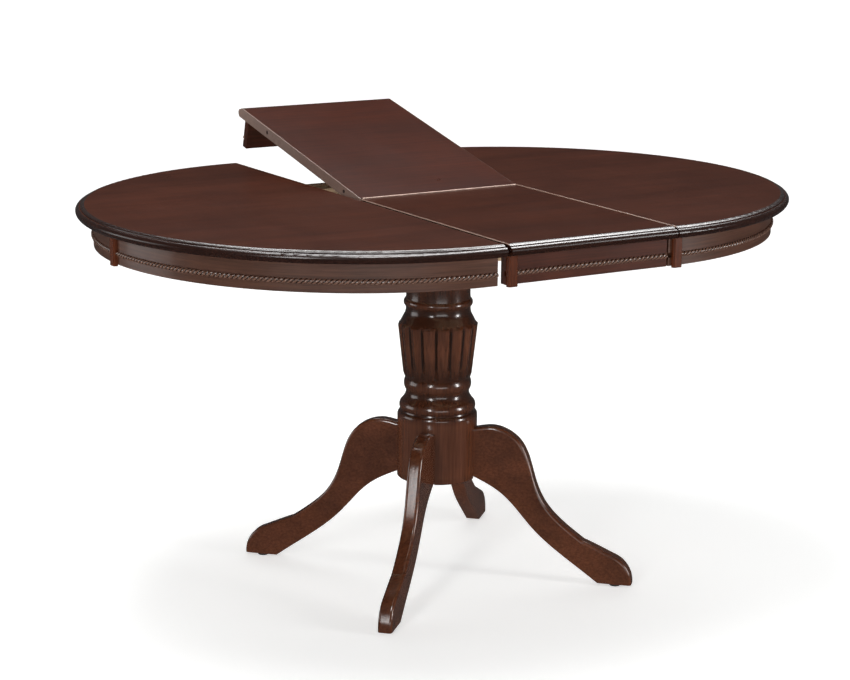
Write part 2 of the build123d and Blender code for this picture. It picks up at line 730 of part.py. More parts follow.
def build_half(name, opening):
    """Every piece of one half; opening is -1 for the left half and +1 for the right."""
    centre_x = opening * half_travel
    start_angle = -90 if opening > 0 else 90
    middle_angle = start_angle + 90

    with BuildPart() as top:
        outline = top_outline(radial_plane(start_angle, centre_x), 0.0)
        revolve(outline, axis=Axis((centre_x, 0, 0), (0, 0, 1)), revolution_arc=180)
        inner_edges = top.edges().filter_by(Axis.Y).group_by(Axis.Z)[-1]
        fillet(inner_edges, arris_radius)
        pins_here = opening < 0
        bore = pin_radius if pins_here else pin_radius + pin_gap
        with BuildSketch(Plane((centre_x, 0, 0), x_dir=(0, opening, 0), z_dir=(opening, 0, 0))):
            for place in pin_places:
                with Locations((place, top_height - top_thickness / 2)):
                    Circle(bore)
                with Locations((-place, top_height - top_thickness / 2)):
                    Circle(bore)
        extrude(amount=pin_depth, mode=Mode.SUBTRACT)
        for side in ("front", "back"):
            for place in half_screw_places:
                spot = (-opening * place, side_sign(side) * member_middle(opening))
                with BuildSketch(Plane.XY.offset(underside)):
                    with Locations(spot):
                        Circle(wood_screw_radius + screw_gap)
                extrude(amount=screw_bite() + 0.5, mode=Mode.SUBTRACT)
    save(top, f"{name}_top")

    for side in ("front", "back"):
        runs_first = (side == "front") == (opening > 0)
        first = start_angle if runs_first else middle_angle
        with BuildPart() as apron:
            section = apron_section(radial_plane(first, centre_x), apron_radius)
            revolve(section, axis=Axis((centre_x, 0, 0), (0, 0, 1)), revolution_arc=90)
        save(apron, f"{name}_apron_{side}")

    pilaster_turn = math.degrees((pilaster_width / 2 + glue_gap) / apron_radius)
    end_turn = 2 * pilaster_turn + math.degrees(end_pilaster_setback / apron_radius)
    plain_end_turn = math.degrees(rope_end_gap / apron_radius)
    with BuildPart() as ropes:
        for first, last in (
            (start_angle + end_turn, middle_angle - pilaster_turn),
            (middle_angle + pilaster_turn, start_angle + 180 - plain_end_turn),
        ):
            section = rope_section(radial_plane(first, centre_x), apron_radius)
            revolve(section, axis=Axis((centre_x, 0, 0), (0, 0, 1)), revolution_arc=last - first)
    save(ropes, f"{name}_ropes")

    with BuildPart() as pilasters:
        for angle, slip in ((middle_angle, 0.0), (start_angle, pilaster_width / 2 + end_pilaster_setback)):
            turn = math.radians(angle)
            sideways = (-math.sin(turn), math.cos(turn))
            spot = (centre_x + slip * sideways[0], slip * sideways[1])
            outward = (math.cos(turn), math.sin(turn), 0)
            foot = Plane(
                origin=(spot[0], spot[1], apron_bottom - pilaster_drop),
                x_dir=outward,
                z_dir=(0, 0, 1),
            )
            plan = pilaster_plan(foot, apron_radius - 1.0, pilaster_width)
            extrude(plan, amount=apron_height + pilaster_drop)
        with BuildSketch(Plane((centre_x, 0, apron_bottom - pilaster_drop))):
            Circle(apron_radius + glue_gap)
        extrude(amount=apron_height + pilaster_drop, mode=Mode.SUBTRACT)
    save(pilasters, f"{name}_pilasters")

    with BuildPart() as blocks:
        block_face = apron_inner - block_gap
        for step in block_angles:
            for angle in (middle_angle - step, middle_angle + step):
                turn = math.radians(angle)
                reach = block_face - block_size / 2
                spot = (centre_x + reach * math.cos(turn), reach * math.sin(turn))
                with BuildSketch(Plane((spot[0], spot[1], underside))):
                    Rectangle(block_size, block_length, rotation=angle)
                extrude(amount=-block_size)
    save(blocks, f"{name}_glue_blocks")

    for side in ("front", "back"):
        sign = side_sign(side)
        middle = sign * member_middle(opening)
        toward = sign * opening
        member_start = opening * (half_travel - rail_length / 2)
        member_end = opening * (half_travel + rail_length / 2)
        rail_y = sign * slide_spacing
        member_face = rail_y + toward * (rail_width / 2 + running_gap)
        rack_bed = rail_y + toward * (pitch_radius + gear_module + 0.5 + rack_back)
        with BuildPart() as member:
            with BuildSketch(Plane.XY.offset(member_bottom)):
                with Locations(((member_start + member_end) / 2, middle)):
                    Rectangle(rail_length, member_width)
            extrude(amount=member_height)
            with BuildSketch(Plane.XY.offset(tongue_bottom - running_gap)):
                with Locations(((member_start + member_end) / 2, member_face)):
                    Rectangle(rail_length, 2 * tongue_depth)
            extrude(amount=tongue_height + 2 * running_gap, mode=Mode.SUBTRACT)
            bed_start = opening * (rack_inner_teeth * tooth_pitch + 0.2)
            bed_end = -opening * (rack_outer_teeth * tooth_pitch + 0.2)
            with BuildSketch(Plane.XY.offset(pinion_bottom)):
                with Locations(((bed_start + bed_end) / 2, (member_face + rack_bed) / 2)):
                    Rectangle(abs(bed_start - bed_end), abs(rack_bed - member_face))
            extrude(amount=gear_height, mode=Mode.SUBTRACT)
            for place in half_screw_places:
                with BuildSketch(Plane.XY.offset(member_bottom)):
                    with Locations((-opening * place, middle)):
                        Circle(wood_screw_radius + screw_gap)
                extrude(amount=member_height, mode=Mode.SUBTRACT)
                with BuildSketch(Plane.XY.offset(member_bottom)):
                    with Locations((-opening * place, middle)):
                        Circle(wood_head_radius + 0.5)
                extrude(amount=half_screw_bore, mode=Mode.SUBTRACT)
        save(member, f"{name}_slide_{side}")

        with BuildPart() as rack:
            plan = rack_plan(Plane.XY.offset(pinion_bottom), rail_y, toward, opening)
            extrude(plan, amount=gear_height)
        save(rack, f"{name}_rack_{side}")

    with BuildPart() as screws:
        for side in ("front", "back"):
            for place in half_screw_places:
                spot = (-opening * place, side_sign(side) * member_middle(opening))
                with BuildSketch(Plane.XY.offset(member_bottom + half_screw_bore)):
                    with Locations(spot):
                        Circle(wood_head_radius)
                extrude(amount=-wood_head_height)
                with BuildSketch(Plane.XY.offset(member_bottom + half_screw_bore)):
                    with Locations(spot):
                        Circle(wood_screw_radius)
                extrude(amount=half_screw_length)
    save(screws, f"{name}_slide_screws")


build_half("left", -1)
build_half("right", 1)

with BuildPart() as left_pins:
    with BuildSketch(Plane((-half_travel - pin_depth, 0, 0), x_dir=(0, 1, 0), z_dir=(1, 0, 0))):
        for place in pin_places:
            with Locations((place, top_height - top_thickness / 2)):
                Circle(pin_radius)
            with Locations((-place, top_height - top_thickness / 2)):
                Circle(pin_radius)
    extrude(amount=pin_depth + half_pin_reach)
    chamfer(left_pins.edges().group_by(Axis.X)[-1], 1.5)
save(left_pins, "left_pins")


# Leaf: both panels are drawn flat, facing the front or the back

def leaf_plane(side, x):
    """Upright plane across the leaf at x: local x runs out from the seam, local y up."""
    sign = side_sign(side)
    return Plane((x, 0, 0), x_dir=(0, sign, 0), z_dir=(sign, 0, 0))


def run(side, start, end):
    """Extrusion that takes a profile on leaf_plane(side, start) along X up to end."""
    return side_sign(side) * (end - start)


def knuckle_start(index):
    return hinge_start + index * knuckle_pitch


def hinge_screw_places():
    step = hinge_length / hinge_screw_count
    return [hinge_start + step * (index + 0.5) for index in range(hinge_screw_count)]


def build_leaf(side, keep):
    """Every piece of one leaf panel, written out by keep."""
    sign = side_sign(side)
    edge = seam_gap / 2
    rebate = edge + hinge_plate
    middle_height = top_height - top_thickness / 2

    with BuildPart() as panel:
        across = leaf_plane(side, leaf_left)
        extrude(top_outline(across, edge), amount=run(side, leaf_left, leaf_right))
        with BuildSketch(across):
            with Locations((0, leaf_underside)):
                Rectangle(
                    2 * top_diameter,
                    2 * leaf_gap,
                    align=(Align.CENTER, Align.MAX),
                )
            with Locations((rebate / 2, top_height - hinge_depth / 2)):
                Rectangle(rebate, hinge_depth)
            with Locations((0, hinge_height)):
                Circle(knuckle_radius + running_gap)
        extrude(amount=run(side, leaf_left, leaf_right), mode=Mode.SUBTRACT)
        long_arrises = panel.edges().filter_by(Axis.Y).group_by(Axis.Z)[-1]
        fillet(long_arrises, arris_radius)
        for x, bore, way in (
            (leaf_left, pin_radius + pin_gap, 1),
            (leaf_right, pin_radius, -1),
        ):
            with BuildSketch(Plane((x, 0, 0), x_dir=(0, 1, 0), z_dir=(1, 0, 0))):
                for place in pin_places:
                    with Locations((sign * place, middle_height)):
                        Circle(bore)
            extrude(amount=way * pin_depth, mode=Mode.SUBTRACT)
        for x in hinge_screw_places():
            with BuildSketch(Plane((x, 0, top_height - hinge_screw_drop), z_dir=(0, sign, 0))):
                Circle(hinge_screw_radius + screw_gap)
            extrude(amount=hinge_screw_length + 1.0, mode=Mode.SUBTRACT)
    keep(panel, f"leaf_{side}_panel")

    apron_start = leaf_left + (leaf_apron_setback if side == "front" else leaf_apron_gap)
    apron_end = leaf_right - (leaf_apron_gap if side == "front" else leaf_apron_setback)
    with BuildPart() as apron:
        across = leaf_plane(side, apron_start)
        extrude(apron_section(across, apron_radius), amount=run(side, apron_start, apron_end))
        with BuildSketch(across):
            with Locations((apron_radius - apron_thickness, underside)):
                Rectangle(
                    apron_thickness,
                    leaf_gap,
                    align=(Align.MIN, Align.MIN),
                )
        extrude(amount=run(side, apron_start, apron_end))
    keep(apron, f"leaf_{side}_apron")

    post_reach = pilaster_inset + pilaster_width / 2
    post = apron_start + post_reach if side == "front" else apron_end - post_reach
    rope_span = (post + pilaster_width / 2 + glue_gap, apron_end - rope_end_gap)
    if side == "back":
        rope_span = (apron_start + rope_end_gap, post - pilaster_width / 2 - glue_gap)
    with BuildPart() as rope:
        section = rope_section(leaf_plane(side, rope_span[0]), apron_radius)
        extrude(section, amount=run(side, *rope_span))
    keep(rope, f"leaf_{side}_rope")

    with BuildPart() as pilaster:
        foot = Plane(
            origin=(post, 0, apron_bottom - pilaster_drop),
            x_dir=(0, sign, 0),
            z_dir=(0, 0, 1),
        )
        plan = pilaster_plan(foot, apron_radius - glue_gap, pilaster_width)
        extrude(plan, amount=apron_height + leaf_gap + pilaster_drop)
    keep(pilaster, f"leaf_{side}_pilaster")

    with BuildPart() as blocks:
        with BuildSketch(Plane.XY.offset(leaf_underside)):
            with Locations((leaf_centre, sign * (apron_inner - block_size / 2))):
                with GridLocations(leaf_width / 2, 0, 2, 1):
                    Rectangle(block_length, block_size)
        extrude(amount=-block_size)
    keep(blocks, f"leaf_{side}_blocks")

    with BuildPart() as pins:
        with BuildSketch(Plane((leaf_right - pin_depth, 0, 0), x_dir=(0, 1, 0), z_dir=(1, 0, 0))):
            for place in pin_places:
                with Locations((sign * place, middle_height)):
                    Circle(pin_radius)
        extrude(amount=pin_depth + leaf_pin_reach)
        chamfer(pins.edges().group_by(Axis.X)[-1], 1.5)
    keep(pins, f"leaf_{side}_pins")

    own_knuckles = range(0 if side == "front" else 1, knuckle_count, 2)
    bore = hinge_pin_radius if side == "front" else hinge_pin_radius + bearing_gap
    with BuildPart() as hinge_leaf:
        with BuildSketch(leaf_plane(side, hinge_start)):
            with Locations((edge, hinge_height)):
                Rectangle(hinge_plate, hinge_depth, align=(Align.MIN, Align.MAX))
        extrude(amount=run(side, hinge_start, hinge_start + hinge_length))
        for index in range(knuckle_count):
            start = knuckle_start(index) + knuckle_gap / 2
            end = knuckle_start(index + 1) - knuckle_gap / 2
            if index in own_knuckles:
                with BuildSketch(leaf_plane(side, start)):
                    with Locations((0, hinge_height)):
                        Circle(knuckle_radius)
                extrude(amount=run(side, start, end))
            else:
                with BuildSketch(leaf_plane(side, start - knuckle_gap)):
                    with Locations((0, hinge_height)):
                        Circle(knuckle_radius + running_gap)
                extrude(
                    amount=sign * (end - start + 2 * knuckle_gap),
                    mode=Mode.SUBTRACT,
                )
        with BuildSketch(leaf_plane(side, hinge_start)):
            with Locations((0, hinge_height)):
                Circle(bore)
        extrude(amount=sign * hinge_length, mode=Mode.SUBTRACT)
        for x in hinge_screw_places():
            seat = Plane((x, sign * edge, top_height - hinge_screw_drop), z_dir=(0, sign, 0))
            with BuildSketch(seat):
                Circle(hinge_head_radius + screw_gap)
            with BuildSketch(seat.offset(hinge_plate)):
                Circle(hinge_screw_radius + screw_gap)
            loft(mode=Mode.SUBTRACT)
    keep(hinge_leaf, f"hinge_leaf_{side}")

    with BuildPart() as hinge_screws:
        for x in hinge_screw_places():
            seat = Plane((x, sign * edge, top_height - hinge_screw_drop), z_dir=(0, sign, 0))
            with BuildSketch(seat):
                Circle(hinge_head_radius)
            with BuildSketch(seat.offset(hinge_plate)):
                Circle(hinge_screw_radius)
            loft()
            with BuildSketch(seat.offset(hinge_plate)):
                Circle(hinge_screw_radius)
            extrude(amount=hinge_screw_length - hinge_plate)
    keep(hinge_screws, f"hinge_screws_{side}")


build_leaf("front", save)
build_leaf("back", save_raised)

with BuildPart() as hinge_pin:
    with BuildSketch(Plane((hinge_start, 0, hinge_height), z_dir=(1, 0, 0))):
        Circle(hinge_pin_radius)
    extrude(amount=hinge_length)
save(hinge_pin, "hinge_pin")
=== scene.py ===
"""Looks for the round pedestal table: lacquered mahogany, rope mouldings, a pale studio."""
import json
import math

import bmesh
import bpy
from mathutils import Matrix, Vector


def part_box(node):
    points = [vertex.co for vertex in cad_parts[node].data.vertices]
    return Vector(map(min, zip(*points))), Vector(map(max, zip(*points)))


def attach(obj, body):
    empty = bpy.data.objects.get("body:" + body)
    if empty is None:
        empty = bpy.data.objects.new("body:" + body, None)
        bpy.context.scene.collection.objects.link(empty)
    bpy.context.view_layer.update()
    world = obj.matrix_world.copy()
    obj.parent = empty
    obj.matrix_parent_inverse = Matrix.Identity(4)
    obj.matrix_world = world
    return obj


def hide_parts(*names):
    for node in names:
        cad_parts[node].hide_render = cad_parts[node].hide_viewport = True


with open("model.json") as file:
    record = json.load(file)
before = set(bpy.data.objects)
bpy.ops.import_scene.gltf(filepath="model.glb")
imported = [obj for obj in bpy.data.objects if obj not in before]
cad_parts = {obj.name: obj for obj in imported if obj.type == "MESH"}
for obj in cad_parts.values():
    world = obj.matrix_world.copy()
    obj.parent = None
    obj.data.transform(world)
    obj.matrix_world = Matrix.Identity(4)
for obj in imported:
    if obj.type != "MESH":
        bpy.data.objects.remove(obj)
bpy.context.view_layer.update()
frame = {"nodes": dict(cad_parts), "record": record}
NODES = frame["nodes"]
MM = 0.001
UP = (0.0, 0.0, 1.0)
FOLD = next(joint for joint in frame["record"]["behaviour"]["joints"] if joint["name"] == "leaf_fold")
RAISE_ANGLE = math.radians(-FOLD["range_deg"][0])


# ---------------------------------------------------------------- camera and light

# name, place, target, width and height, power in watts
SOFT_BOXES = (
    ("overhead", (-0.4, 0.3, 3.6), (0.0, 0.0, 0.7), (2.0, 1.4), 90),
    ("strip_nose", (0.3, -0.75, 3.4), (0.0, -0.4, 0.75), (4.6, 0.60), 205),
    ("strip_slope", (1.6, 2.0, 3.4), (0.1, -0.3, 0.75), (3.4, 0.80), 72),
    ("front_left", (-3.6, -2.6, 1.9), (0.0, 0.0, 0.5), (0.6, 2.2), 58),
    ("front_right", (2.9, -3.4, 1.3), (0.0, 0.0, 0.40), (0.7, 1.9), 74),
    ("left_back", (-3.0, 1.9, 0.8), (0.0, 0.2, 0.6), (1.8, 1.5), 17),
    ("low_front", (-1.4, -4.2, 0.6), (0.0, 0.0, 0.35), (3.0, 0.8), 22),
)


def make_camera():
    """Camera in front and to the left of the table, a little above the top."""
    data = bpy.data.cameras.new("camera")
    data.sensor_width = 36.0
    data.lens = 98.78
    data.clip_end = 100.0
    camera = bpy.data.objects.new("camera", data)
    right = Vector((0.8582968, -0.5130943, 0.0078034))
    up = Vector((0.1102916, 0.1993029, 0.9737115))
    back = Vector((-0.5011610, -0.8348728, 0.2276510))
    place = Matrix((right, up, back)).transposed().to_4x4()
    place.translation = Vector((-2.332975, -3.836784, 1.525334))
    camera.matrix_world = place
    bpy.context.collection.objects.link(camera)
    bpy.context.scene.camera = camera


def make_light():
    """Soft boxes round the table and a dim even sky; none of them shows in the picture itself.

    The strips light nothing but the gloss: they draw the highlights along the mouldings.
    """
    for name, place, target, size, power in SOFT_BOXES:
        data = bpy.data.lights.new(name, "AREA")
        data.shape = "RECTANGLE"
        data.size, data.size_y = size
        data.energy = power
        light = bpy.data.objects.new(name, data)
        light.location = place
        aim = Vector(target) - Vector(place)
        light.rotation_euler = aim.to_track_quat("-Z", "Y").to_euler()
        light.visible_camera = False
        light.visible_diffuse = not name.startswith("strip")
        bpy.context.collection.objects.link(light)
    world = bpy.data.worlds.new("studio")
    world.use_nodes = True
    sky = world.node_tree.nodes["Background"]
    sky.inputs["Color"].default_value = (0.95, 0.98, 1.0, 1.0)
    sky.inputs["Strength"].default_value = 0.05
    bpy.context.scene.world = world
    bpy.context.scene.view_settings.view_transform = "Standard"


def make_floor():
    """Pale floor that curves up into a pale wall, kept out of the lacquer's reflections."""
    nearest, wall_distance, bend, wall_top, half_width = -9.0, 5.0, 2.0, 8.0, 12.0
    bend_steps = 12
    profile = [(nearest, 0.0)]
    for step in range(bend_steps + 1):
        angle = math.pi / 2 * step / bend_steps
        profile.append((wall_distance + bend * math.sin(angle), bend * (1 - math.cos(angle))))
    profile.append((wall_distance + bend, wall_top))
    view = Vector((0.515, 0.857, 0.0)).normalized()
    side = Vector((view.y, -view.x, 0.0))
    vertices = [
        view * along + side * across + Vector((0, 0, height))
        for along, height in profile for across in (-half_width, half_width)
    ]
    firsts = range(0, 2 * (len(profile) - 1), 2)
    faces = [(first, first + 1, first + 3, first + 2) for first in firsts]
    mesh = bpy.data.meshes.new("floor")
    mesh.from_pydata(vertices, [], faces)
    for polygon in mesh.polygons:
        polygon.use_smooth = True
    floor = bpy.data.objects.new("floor", mesh)
    bpy.context.collection.objects.link(floor)
    mesh.materials.append(floor_paint())
    floor.visible_glossy = False


def floor_paint():
    """Off-white that glows a little more with the distance from the table."""
    graph = Graph("pale_floor")
    away = graph.add("ShaderNodeVectorMath")
    away.operation = "LENGTH"
    graph.put(away, 0, graph.add("ShaderNodeTexCoord").outputs["Object"])
    glow = graph.add("ShaderNodeMapRange")
    for socket, value in (("From Min", 1.2), ("From Max", 4.5), ("To Min", 0.54), ("To Max", 0.72)):
        graph.put(glow, socket, value)
    graph.put(glow, "Value", away.outputs["Value"])
    graph.put(graph.shader, "Base Color", (0.80, 0.81, 0.80, 1.0))
    graph.put(graph.shader, "Roughness", 0.7)
    graph.put(graph.shader, "Emission Color", (1.0, 1.0, 1.0, 1.0))
    graph.put(graph.shader, "Emission Strength", glow.outputs["Result"])
    return graph.material


# ---------------------------------------------------------------- materials

# Tone up the column, with darker bands of painted shade in its grooves and hollows: height in metres,
# then the tone there.
COLUMN_SHADE_BANDS = (
    (0.200, (0.80, 0.80, 0.80)),
    (0.215, (1.05, 1.05, 1.05)),
    (0.318, (1.05, 1.05, 1.05)),
    (0.336, (0.35, 0.33, 0.33)),
    (0.346, (0.85, 0.85, 0.85)),
    (0.372, (0.38, 0.37, 0.37)),
    (0.390, (0.90, 0.90, 0.90)),
    (0.405, (0.36, 0.35, 0.35)),
    (0.432, (0.70, 0.70, 0.70)),
    (0.470, (1.00, 1.00, 1.00)),
    (0.506, (0.90, 0.90, 0.90)),
    (0.520, (0.42, 0.42, 0.44)),
    (0.546, (0.36, 0.36, 0.37)),
    (0.555, (0.85, 0.85, 0.85)),
    (0.566, (0.45, 0.45, 0.45)),
    (0.620, (0.80, 0.80, 0.80)),
)
STAVES = 18
REEDS = 16
REED_FOOT = 0.424
REED_HEAD = 0.514
# Near black painted shade in the valleys between the reeds.
REED_VALLEY_SHADE = (0.010, 0.005, 0.0035, 1.0)
# Painted shade on the mouldings and end faces of the top panels.
MOULDING_SHADE = (0.34, 0.36, 0.40, 1.0)
# Painted reflection, pale, on the moulding and edges of the raised leaf.
EDGE_SHEEN_COLOUR = (0.20, 0.155, 0.140, 1.0)
# Painted highlight along the seam arrises of the tops.
ARRIS_HIGHLIGHT = (0.42, 0.27, 0.21, 1.0)
ARRIS_WIDTH = 1.5 * MM
ARRIS_DEPTH = 2.0 * MM
LEG_ANGLES = (("front_left", 225), ("front_right", 315), ("back_left", 135), ("back_right", 45))
LEG_GRAIN_SLOPE = 32


class Graph:
    """Small helper that adds and links nodes of one material."""

    def __init__(self, name):
        self.material = bpy.data.materials.new(name)
        self.material.use_nodes = True
        self.tree = self.material.node_tree
        self.shader = self.tree.nodes["Principled BSDF"]

    def add(self, kind):
        return self.tree.nodes.new(kind)

    def put(self, node, socket, value):
        """Link value to the socket, or set it where it is a plain number or colour."""
        target = node.inputs[socket]
        if isinstance(value, bpy.types.NodeSocket):
            self.tree.links.new(value, target)
        else:
            target.default_value = value

    def ramp(self, factor, stops):
        node = self.add("ShaderNodeValToRGB")
        self.put(node, "Fac", factor)
        elements = node.color_ramp.elements
        while len(elements) < len(stops):
            elements.new(0.5)
        for element, (position, colour) in zip(elements, stops):
            element.position = position
            element.color = (*colour, 1.0)
        return node.outputs["Color"]

    def math(self, operation, first, second=0.0, third=0.0, clamp=False):
        node = self.add("ShaderNodeMath")
        node.operation = operation
        node.use_clamp = clamp
        for index, value in enumerate((first, second, third)):
            self.put(node, index, value)
        return node.outputs["Value"]

    def past(self, value, start, gain):
        """0 up to start, then rising by gain to 1."""
        return self.math("MULTIPLY", self.math("SUBTRACT", value, start), gain, clamp=True)

    def short_of(self, value, end, gain):
        """1 well below end, falling by gain to 0 at it."""
        return self.math("MULTIPLY", self.math("SUBTRACT", end, value), gain, clamp=True)

    def mix(self, factor, first, second, blend="MIX"):
        node = self.add("ShaderNodeMix")
        node.data_type = "RGBA"
        node.blend_type = blend
        factor_socket, first_socket, second_socket, result = 0, 6, 7, 2
        self.put(node, factor_socket, factor)
        self.put(node, first_socket, first)
        self.put(node, second_socket, second)
        return node.outputs[result]

    def split(self):
        """Object coordinates, one output for each of X, Y and Z."""
        node = self.add("ShaderNodeSeparateXYZ")
        self.put(node, "Vector", self.add("ShaderNodeTexCoord").outputs["Object"])
        return node.outputs

    def place(self, turn=(0.0, 0.0, 0.0), stretch=(1.0, 1.0, 1.0), shift=(0.0, 0.0, 0.0)):
        """Object coordinates, shifted, turned and stretched."""
        node = self.add("ShaderNodeMapping")
        self.put(node, "Vector", self.add("ShaderNodeTexCoord").outputs["Object"])
        self.put(node, "Location", shift)
        self.put(node, "Rotation", turn)
        self.put(node, "Scale", stretch)
        return node.outputs["Vector"]

    def noise(self, vector, scale, detail=4.0, rough=0.55, distortion=0.0):
        node = self.add("ShaderNodeTexNoise")
        self.put(node, "Vector", vector)
        self.put(node, "Scale", scale)
        self.put(node, "Detail", detail)
        self.put(node, "Roughness", rough)
        self.put(node, "Distortion", distortion)
        return node.outputs["Fac"]

    def bump(self, height, strength, distance):
        """Raise the surface by height before it is lit."""
        node = self.add("ShaderNodeBump")
        self.put(node, "Strength", strength)
        self.put(node, "Distance", distance)
        self.put(node, "Height", height)
        self.put(self.shader, "Normal", node.outputs["Normal"])


def scaled(colour, factor):
    return tuple(channel * factor for channel in colour)


def lacquered_wood(name, colour, grain_axis, figure, rough, coat, edge=0.0, shift=(0.0, 0.0, 0.0),
                   turn=(0.0, 0.0, 0.0), tones=None, panel=None, specular=0.4, coat_roughness=0.12):
    """Stained wood under lacquer; the grain runs along grain_axis of the turned frame.

    edge is how far the corners are painted paler and the hollows darker as painted shade, tones adds to
    the colour, and panel holds the moulding's flat, pale_edges and sheen settings.
    """
    graph = Graph(name)

    def stretched(slow, quick):
        scales = [slow if axis in grain_axis else quick for axis in "XYZ"]
        return graph.place(turn=turn, stretch=scales, shift=shift)

    bands = graph.noise(stretched(0.9, 9.0), 1.6, 3.0, 0.5, 0.6)
    fibres = graph.noise(stretched(6.0, 260.0), 1.0, 5.0, 0.62, 0.15)
    pores = graph.noise(stretched(22.0, 900.0), 1.0, 2.0, 0.5)
    clouds = graph.noise(graph.place(shift=shift), 5.0, 3.0, 0.5)
    ribbon = graph.noise(stretched(14.0, 3.0), 1.3, 2.0, 0.5, 0.8)

    dark = scaled(colour, 1.0 - figure)
    light = scaled(colour, 1.0 + figure)
    base = graph.ramp(bands, [(0.32, dark), (0.5, colour), (0.7, light)])
    base = graph.mix(0.22, base, graph.ramp(ribbon, [(0.35, dark), (0.65, light)]))
    fibre_tone = graph.ramp(fibres, [(0.36, (0.62, 0.60, 0.58)), (0.62, (1.16, 1.14, 1.12))])
    base = graph.mix(0.75, base, fibre_tone, "MULTIPLY")
    pore_tone = graph.ramp(pores, [(0.30, (0.45, 0.42, 0.40)), (0.42, (1.0, 1.0, 1.0))])
    base = graph.mix(0.6, base, pore_tone, "MULTIPLY")
    cloud_tone = graph.ramp(clouds, [(0.3, (0.86, 0.84, 0.84)), (0.7, (1.12, 1.12, 1.10))])
    base = graph.mix(0.8, base, cloud_tone, "MULTIPLY")
    if tones:
        base = tones(graph, base)
    if edge:
        pointiness = graph.add("ShaderNodeNewGeometry").outputs["Pointiness"]
        rim = graph.math("SMOOTH_MIN", graph.math("SUBTRACT", pointiness, 0.52), 0.1, 0.02)
        rim = graph.math("MULTIPLY", rim, 8.0, clamp=True)
        base = graph.mix(graph.math("MULTIPLY", rim, edge), base, (*scaled(colour, 2.2), 1.0))
        # Painted shade: the hollows darkened.
        hollow = graph.short_of(pointiness, 0.485, 10.0)
        base = graph.mix(graph.math("MULTIPLY", hollow, 0.8), base, (*scaled(colour, 0.25), 1.0))
    smudge = graph.noise(graph.place(shift=shift), 9.0, 4.0, 0.6)
    roughness = graph.math("MULTIPLY_ADD", smudge, 0.12, rough - 0.06)
    height = graph.math("MULTIPLY_ADD", pores, 0.5, graph.math("MULTIPLY", fibres, 0.5))
    if panel:
        face, base = shaded_moulding(graph, base, **panel)
        moulding = graph.math("SUBTRACT", 1.0, face)
        polished = graph.math("MULTIPLY_ADD", smudge, 0.04, 0.255)
        roughness = graph.math("ADD", graph.math("MULTIPLY", roughness, face),
                               graph.math("MULTIPLY", polished, moulding))
        coat = moulding
        height = graph.math("MULTIPLY", height, face)
    graph.put(graph.shader, "Base Color", base)
    graph.put(graph.shader, "Roughness", roughness)
    graph.put(graph.shader, "Coat Weight", coat)
    graph.put(graph.shader, "Coat Roughness", coat_roughness)
    graph.put(graph.shader, "Specular IOR Level", specular)
    graph.bump(height, 0.12, 0.0003)
    return graph.material


def shaded_moulding(graph, base, flat, pale_edges, edge_sheen):
    """Painted shade, a darker and cooler colour, on all of a panel but its faces, which look along flat
    or the other way.

    The last argument paints a pale reflection over that shade. Returns 1 on the faces and 0 elsewhere,
    and the new colour.
    """
    facing = graph.add("ShaderNodeVectorMath")
    facing.operation = "DOT_PRODUCT"
    graph.put(facing, 0, graph.add("ShaderNodeTexCoord").outputs["Normal"])
    graph.put(facing, 1, flat)
    face = graph.past(graph.math("ABSOLUTE", facing.outputs["Value"]), 0.985, 120.0)
    # Painted shade on the moulding.
    moulding_shade = graph.mix(1.0, base, MOULDING_SHADE, "MULTIPLY")
    # Painted reflection over the painted shade.
    if edge_sheen:
        moulding_shade = graph.mix(edge_sheen, moulding_shade, EDGE_SHEEN_COLOUR)
    return face, pale_lines(graph, graph.mix(face, moulding_shade, base), *pale_edges)


def pale_lines(graph, base, edges, lowest, strength):
    """Painted highlight: paler wood along the straight arrises at x = edges, above the height lowest."""
    at = graph.split()
    highlight_noise = graph.noise(graph.place(), 70.0, 3.0, 0.6)
    for edge in edges:
        distance = graph.math("ABSOLUTE", graph.math("SUBTRACT", at["X"], edge))
        near = graph.short_of(distance, ARRIS_WIDTH, 2500.0)
        high = graph.past(at["Z"], lowest, 1200.0)
        highlight_patch = graph.math("MULTIPLY_ADD", highlight_noise, 0.5, 0.65, clamp=True)
        amount = graph.math("MULTIPLY", graph.math("MULTIPLY", near, high),
                            graph.math("MULTIPLY", highlight_patch, strength))
        # Painted highlight along the arris.
        base = graph.mix(amount, base, ARRIS_HIGHLIGHT)
    return base


def column_tones(graph, base):
    """Glued staves of slightly different tone, painted shade in the grooves and hollows, painted shade
    between the reeds.
    """
    at = graph.split()
    angle = graph.math("ARCTAN2", at["Y"], at["X"])
    random = graph.add("ShaderNodeTexWhiteNoise")
    random.noise_dimensions = "1D"
    graph.put(random, "W", graph.math("FLOOR", graph.math("MULTIPLY", angle, STAVES / 2 / math.pi)))
    tone = graph.ramp(random.outputs["Value"], [(0.0, (0.84, 0.83, 0.83)), (1.0, (1.14, 1.12, 1.10))])
    base = graph.mix(1.0, base, tone, "MULTIPLY")
    # Painted shade: darker bands at the grooves and hollows up the column.
    base = graph.mix(1.0, base, graph.ramp(at["Z"], COLUMN_SHADE_BANDS), "MULTIPLY")
    # Painted shade: the valleys between the reeds darkened, within the reeded height.
    crest = graph.math("COSINE", graph.math("MULTIPLY", angle, float(REEDS)))
    valley = graph.short_of(crest, -0.62, 2.8)
    above = graph.past(at["Z"], REED_FOOT, 90.0)
    below = graph.short_of(at["Z"], REED_HEAD, 110.0)
    reed_valley_mask = graph.math("MULTIPLY", graph.math("MULTIPLY", above, below), valley)
    return graph.mix(graph.math("MULTIPLY", reed_valley_mask, 0.85), base, REED_VALLEY_SHADE)


